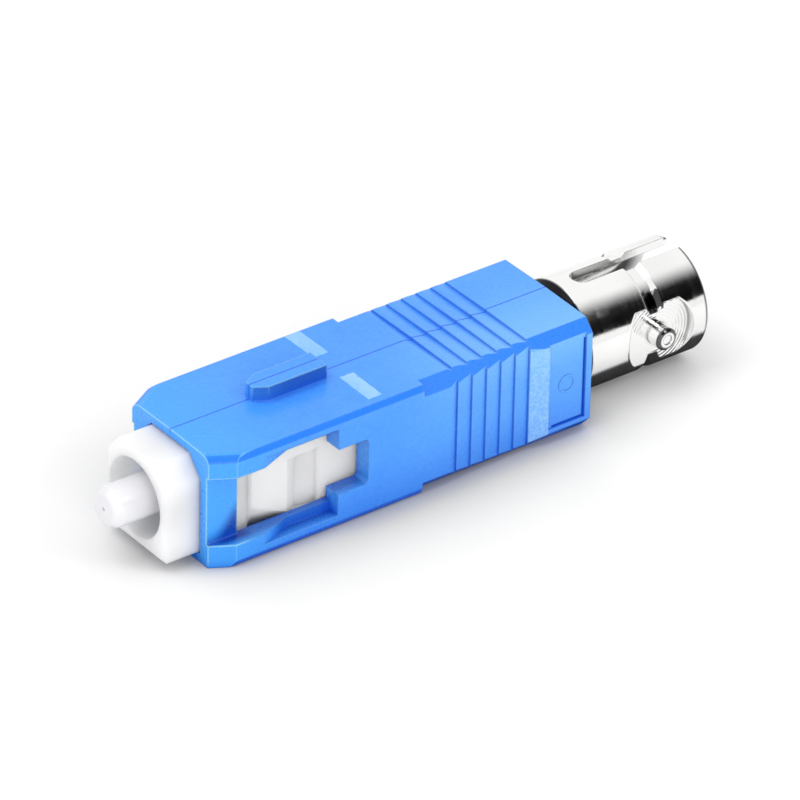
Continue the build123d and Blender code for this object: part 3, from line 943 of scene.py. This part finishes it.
@dataclass
class PolishedFerrule:
    """The front ferrule with a domed end face and softened corners, in the place of the flat-ended solid."""

    radius: float = 1.25 * MM
    bore: float = 0.1 * MM
    tip_length: float = 0.5 * MM
    tip_drop: float = 0.3 * MM
    dome_radius: float = 22.0 * MM
    softening: float = 0.12 * MM
    face_steps: int = 10
    corner_steps: int = 8
    around: int = 96
    crease: float = 30.0

    def profile(self, start: float, end: float) -> np.ndarray:
        """Work out half of the ferrule's section, from the bore at the tip round to the bore at the rear.

        The tip's face lies back by r squared over twice the dome's radius. Each corner is a curve of three
        points A, B and C, (1-t)^2 A + 2t(1-t) B + t^2 C, that starts and ends one softening from the corner.

        Args:
            start: X of the tip.
            end: X of the rear end.

        Returns:
            (X, radius) rows.
        """
        rim = self.radius - self.tip_drop
        radii = np.linspace(self.bore, rim - self.softening, self.face_steps)
        face = np.stack([start + radii ** 2 / (2 * self.dome_radius), radii], axis=1)
        edge = np.array([start + rim ** 2 / (2 * self.dome_radius), rim])
        shoulder = np.array([start + self.tip_length, self.radius])
        along = (shoulder - edge) / np.linalg.norm(shoulder - edge)
        turn = np.linspace(0.0, 1.0, self.corner_steps)[:, None]

        def soft(first: np.ndarray, corner: np.ndarray, last: np.ndarray) -> np.ndarray:
            """Return the curve of three points that rounds one corner."""
            return (1 - turn) ** 2 * first + 2 * turn * (1 - turn) * corner + turn ** 2 * last

        body = shoulder + np.array([self.softening, 0.0])
        rear = np.array([[end, self.radius], [end, self.bore]])
        return np.concatenate([
            face[:-1],
            soft(face[-1], edge, edge + self.softening * along),
            soft(shoulder - self.softening * along, shoulder, body),
            rear,
        ])

    def build(self, material: bpy.types.Material) -> None:
        """Build the ferrule: the profile turned about the X axis, closed along its bore.

        Args:
            material: Its material.
        """
        low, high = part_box("front_ferrule")
        profile = self.profile(low[0], high[0])
        turn = np.linspace(0.0, 2 * np.pi, self.around, endpoint=False)
        radius = profile[:, 1][:, None]
        along = np.repeat(profile[:, 0][:, None], self.around, axis=1)
        points = np.stack([along, radius * np.cos(turn), radius * np.sin(turn)], axis=-1).reshape(-1, 3)
        row = np.arange(len(profile))[:, None] * self.around
        after = ((np.arange(len(profile)) + 1) % len(profile))[:, None] * self.around
        step = np.arange(self.around)[None, :]
        aside = (step + 1) % self.around
        faces = np.stack([row + step, row + aside, after + aside, after + step], axis=-1).reshape(-1, 4)
        piece = make_piece("polished_ferrule", points, faces, material, self.crease)
        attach(piece, "ferrule")
        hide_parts("front_ferrule")


@dataclass
class PrintedBars:
    """The two pale bars on the top face, as thin films that follow its low ridge."""

    groups: Groups
    crest: float = 3.65 * MM
    fall: float = 0.06 / 4.295
    film: float = 0.01 * MM
    sunk: float = 0.004 * MM
    bedding: float = 0.0005 * MM
    wobble: float = 0.012 * MM
    bars: Tuple[Tuple[str, Tuple[float, ...]], ...] = (
        ("far_printed_bar", (10.95, 12.0, 1.45, 4.28)),
        ("near_printed_bar", (10.9, 11.85, -3.8, -1.05)),
    )
    steps: Tuple[int, int] = (24, 48)
    crease: float = 40.0

    def grid(self, bar: Tuple[float, ...]) -> Tuple[np.ndarray, np.ndarray]:
        """Work out one bar's film.

        U and v run from 0 to 1 along X and Y, and each side waves by a sine of the wobble's height. The
        face under the film falls evenly from its crest at the middle. The film's top stands above it by its
        thickness times (1 - |2u-1|^12)(1 - |2v-1|^24), less the bedding, so that it is round at its rim.
        The underside is the same grid a little below the face.

        Args:
            bar: Lowest and highest X, then lowest and highest Y, in millimetres.

        Returns:
            Corners and four-sided faces.
        """
        rows, columns = self.steps
        x_low, x_high, y_low, y_high = np.array(bar) * MM
        u, v = np.meshgrid(np.linspace(0.0, 1.0, rows), np.linspace(0.0, 1.0, columns), indexing="ij")
        x = x_low + u * (x_high - x_low) + self.wobble * np.sin(19.0 * v + 3.0) * (2 * u - 1)
        y = y_low + v * (y_high - y_low) + self.wobble * np.sin(11.0 * u + 1.0) * (2 * v - 1)
        face = self.crest - self.fall * np.abs(y)
        swell = (1 - np.abs(2 * u - 1) ** 12) * (1 - np.abs(2 * v - 1) ** 24)
        top = np.stack([x, y, face + self.film * swell - self.bedding], axis=-1).reshape(-1, 3)
        under = np.stack([x, y, face - self.sunk], axis=-1).reshape(-1, 3)
        number = np.arange(rows * columns).reshape(rows, columns)
        corners = (number[:-1, :-1], number[1:, :-1], number[1:, 1:], number[:-1, 1:])
        cells = np.stack(corners, axis=-1).reshape(-1, 4)
        rim = np.concatenate([number[:-1, 0], number[-1, :-1], number[:0:-1, -1], number[0, :0:-1]])
        after = np.roll(rim, -1)
        base = rows * columns
        wall = np.stack([rim, rim + base, after + base, after], axis=-1)
        return np.concatenate([top, under]), np.concatenate([cells, cells[:, ::-1] + base, wall])

    def build(self) -> None:
        """Build both bars."""
        ink = PrintInk(self.groups).build()
        for name, bar in self.bars:
            piece = make_piece(name, *self.grid(bar), ink, self.crease)
            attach(piece, "housing")


@dataclass
class Plug:
    """The square plug: grip housing, plug frame and the sprung ferrule."""

    groups: Groups

    def build(self) -> None:
        """Dress the plug's solids and add its own pieces."""
        ceramic = PolishedCeramic(self.groups).build()
        turned = PlatedMetal(self.groups, Metal.TURNED).build()
        dress("grip_housing", HousingPlastic(self.groups).build())
        dress("plug_frame", FramePlastic(self.groups).build())
        dress("rear_ferrule", ceramic)
        PolishedFerrule().build(ceramic)
        PrintedBars(self.groups).build()
        for node in ("ferrule_holder", "spring_stop"):
            dress(node, turned)
        dress("ferrule_spring", PlatedMetal(self.groups, Metal.WIRE).build())
        dress("optical_fibre", GlassFibre(self.groups).build())


@dataclass
class Port:
    """The bayonet port: barrel, lock nut, sleeve insert and split sleeve."""

    groups: Groups

    def build(self) -> None:
        """Dress the port's solids."""
        dress("bayonet_barrel", PlatedMetal(self.groups, Metal.BARREL).build())
        inner = PlatedMetal(self.groups, Metal.INSERT).build()
        for node in ("lock_nut", "sleeve_insert", "sleeve_stop_ring"):
            dress(node, inner)
        dress("split_sleeve", PolishedCeramic(self.groups, name="sleeve_ceramic").build())


@dataclass
class Studio:
    """Pale floor, soft lamps and the camera at the photograph's angle."""

    floor_height: float = -3.66 * MM
    floor_steps: int = 9
    floor_colour: Colour = from_srgb(250, 250, 250)
    floor_shade: Colour = from_srgb(248, 248, 248)
    floor_lift: float = 0.05
    wide_reach: float = 26 * MM
    close_reach: float = 3 * MM
    camera_place: Point = mm(-214.96, -302.77, 241.11)
    turn: Point = (2.0553, -0.6696, 0.3929)
    focal: float = 7933.3
    sensor: float = 36.0
    picture: int = 800
    sky_level: float = 0.80
    card_angles: Span = (11.0, 86.0)
    card_fade: Span = (46.0, 86.0)
    card_radius: float = 0.35
    card_ends: Span = (-0.1, 0.75)
    card_steps: Tuple[int, int] = (3, 25)
    aim: Point = (0.015, 0.0, 0.0)
    lamps: Tuple[Tuple[str, Point, Span, float], ...] = (
        ("key_lamp", (-0.20, 0.10, 0.45), (0.30, 0.30), 0.7),
        ("side_lamp", (-0.10, -0.50, 0.12), (0.30, 0.20), 0.55),
        ("rear_lamp", (0.05, -0.07, 0.08), (0.03, 0.03), 0.012),
    )

    def camera(self) -> None:
        """Make the camera.

        The turn is a rotation vector from the object's frame to a view with x right, y down and z
        forwards. Blender's camera has y up and looks along its own -Z, so two axes change sign.
        """
        axis = Vector(self.turn)
        rows = Matrix.Rotation(axis.length, 3, axis.normalized())
        flip = Matrix(((1, 0, 0), (0, -1, 0), (0, 0, -1)))
        world = (flip @ rows).transposed().to_4x4()
        world.translation = Vector(self.camera_place)
        data = bpy.data.cameras.new("camera")
        data.sensor_width = self.sensor
        data.lens = self.focal * self.sensor / self.picture
        data.clip_start, data.clip_end = 0.01, 10.0
        camera = bpy.data.objects.new("camera", data)
        camera.matrix_world = world
        bpy.context.scene.collection.objects.link(camera)
        bpy.context.scene.camera = camera

    def floor_shadow(self, nodes: Nodes) -> Socket:
        """Paint part of the shadow by how closed in the floor is, less near both ends of the object.

        Args:
            nodes: The material's helper.

        Returns:
            The share of the floor's colour that stays.
        """
        x = nodes.xyz()[0]
        dim = nodes.ramp(nodes.openness(self.wide_reach), (0.4, 1.0), (0.68, 1.0), "LINEAR")
        shut = nodes.times(
            nodes.minus(1.0, nodes.ramp(nodes.openness(self.close_reach), (0.2, 0.9), (0.5, 1.0))),
            nodes.ramp(x, mm(25, 29), (1.0, 0.25)),
            nodes.ramp(x, mm(-2, 1.5), (0.2, 1.0)),
        )
        ends = nodes.plus(nodes.ramp(x, mm(-3, 2), (0.35, 0.0)), nodes.ramp(x, mm(22, 27), (0.0, 0.6)))
        dim = nodes.plus(dim, nodes.times(nodes.minus(1.0, dim), ends))
        return nodes.times(dim, nodes.minus(1.0, shut))

    def floor_paper(self) -> bpy.types.Material:
        """Build the floor's material, which is white to the camera.

        Under the barrel the floor is dark to reflections alone, a painted shadow for the metal's dark bands.

        Returns:
            The material.
        """
        material, nodes, shader = new_material("floor_paper")
        x, y, _ = nodes.xyz()
        rays = nodes.rays()
        mottle = nodes.rise(nodes.noise(nodes.place(), 40.0), NOISE_SPAN)
        pale = nodes.mix(mottle, self.floor_colour, self.floor_shade)
        pale = nodes.mix(self.floor_shadow(nodes), (0.0, 0.0, 0.0), pale)
        beneath = nodes.times(
            nodes.fall(nodes.size(y), mm(4.1, 4.7)),
            nodes.rise(x, mm(24, 26)),
            nodes.fall(x, mm(37.5, 39)),
            rays["Is Glossy Ray"],
        )
        nodes.fill(shader, {
            "Base Color": nodes.mix(beneath, pale, (0.05, 0.05, 0.052)),
            "Roughness": 0.9,
            "Specular IOR Level": 0.1,
            "Emission Color": (1.0, 1.0, 1.0, 1.0),
            "Emission Strength": nodes.times(rays["Is Camera Ray"], self.floor_lift),
        })
        return material

    def floor(self) -> None:
        """Make the floor: a wide flat grid, 2 m across, that keeps the shadow."""
        steps = np.linspace(-1.0, 1.0, self.floor_steps)
        across, along = np.meshgrid(steps, steps)
        points = np.stack([across.ravel(), along.ravel(), np.full(across.size, self.floor_height)], axis=1)
        floor = link_mesh("floor", points, grid_faces(self.floor_steps, self.floor_steps))
        floor.data.materials.append(self.floor_paper())

    def card(self) -> None:
        """Make a dark card that only reflections show, for the dark bands on the metal.

        The card is the part of a cylinder about the X axis between two angles, each measured up from
        the near side. It fades out upwards.
        """
        rows, columns = self.card_steps
        angles = np.radians(np.linspace(*self.card_angles, columns))
        turn, along = np.meshgrid(angles, np.linspace(*self.card_ends, rows))
        points = np.stack([along, -self.card_radius * np.cos(turn), self.card_radius * np.sin(turn)], axis=-1)
        card = link_mesh("near_card", points.reshape(-1, 3), grid_faces(rows, columns))
        card.visible_camera = card.visible_diffuse = card.visible_shadow = False
        material, nodes, shader = new_material("near_card")
        _, y, z = nodes.xyz()
        up = nodes.maths("ARCTAN2", z, nodes.size(y))
        nodes.fill(shader, {
            "Base Color": (0.004, 0.004, 0.004, 1.0),
            "Roughness": 1.0,
            "Specular IOR Level": 0.0,
            "Alpha": nodes.fall(up, tuple(np.radians(self.card_fade))),
        })
        card.data.materials.append(material)

    def sky(self) -> None:
        """Make the world: white to the camera and to reflections, and a plain soft level to the rest."""
        world = bpy.data.worlds.new("studio")
        bpy.context.scene.world = world
        world.use_nodes = True
        nodes = Nodes(world.node_tree)
        ground = next(node for node in world.node_tree.nodes if node.type == "BACKGROUND")
        rays = nodes.rays()
        seen = nodes.most(rays["Is Camera Ray"], rays["Is Transmission Ray"], rays["Is Glossy Ray"])
        nodes.fill(ground, {
            "Strength": nodes.ramp(seen, (0.0, 1.0), (self.sky_level, 1.0)),
            "Color": (1.0, 1.0, 1.0, 1.0),
        })

    def lamp(self, name: str, place: Point, size: Span, power: float) -> None:
        """Make one soft lamp that faces the object.

        Args:
            name: The lamp's name.
            place: Where it stands.
            size: Its width and height.
            power: Its power in watts.
        """
        data = bpy.data.lights.new(name, "AREA")
        data.shape = "RECTANGLE"
        data.size, data.size_y = size
        data.energy = power
        lamp = bpy.data.objects.new(name, data)
        lamp.location = place
        aim = Vector(self.aim) - Vector(place)
        lamp.rotation_euler = aim.to_track_quat("-Z", "Y").to_euler()
        bpy.context.scene.collection.objects.link(lamp)

    def build(self) -> None:
        """Build camera, floor, sky, card and lamps."""
        self.camera()
        self.floor()
        self.sky()
        self.card()
        for lamp in self.lamps:
            self.lamp(*lamp)
        bpy.context.scene.view_settings.view_transform = "Standard"


def main() -> None:
    """Build the studio and dress each sub-assembly in order."""
    logging.basicConfig(level=logging.INFO, format="%(name)s: %(message)s")
    Studio().build()
    groups = Groups.build()
    Plug(groups).build()
    Port(groups).build()


if __name__ == "__main__":
    main()
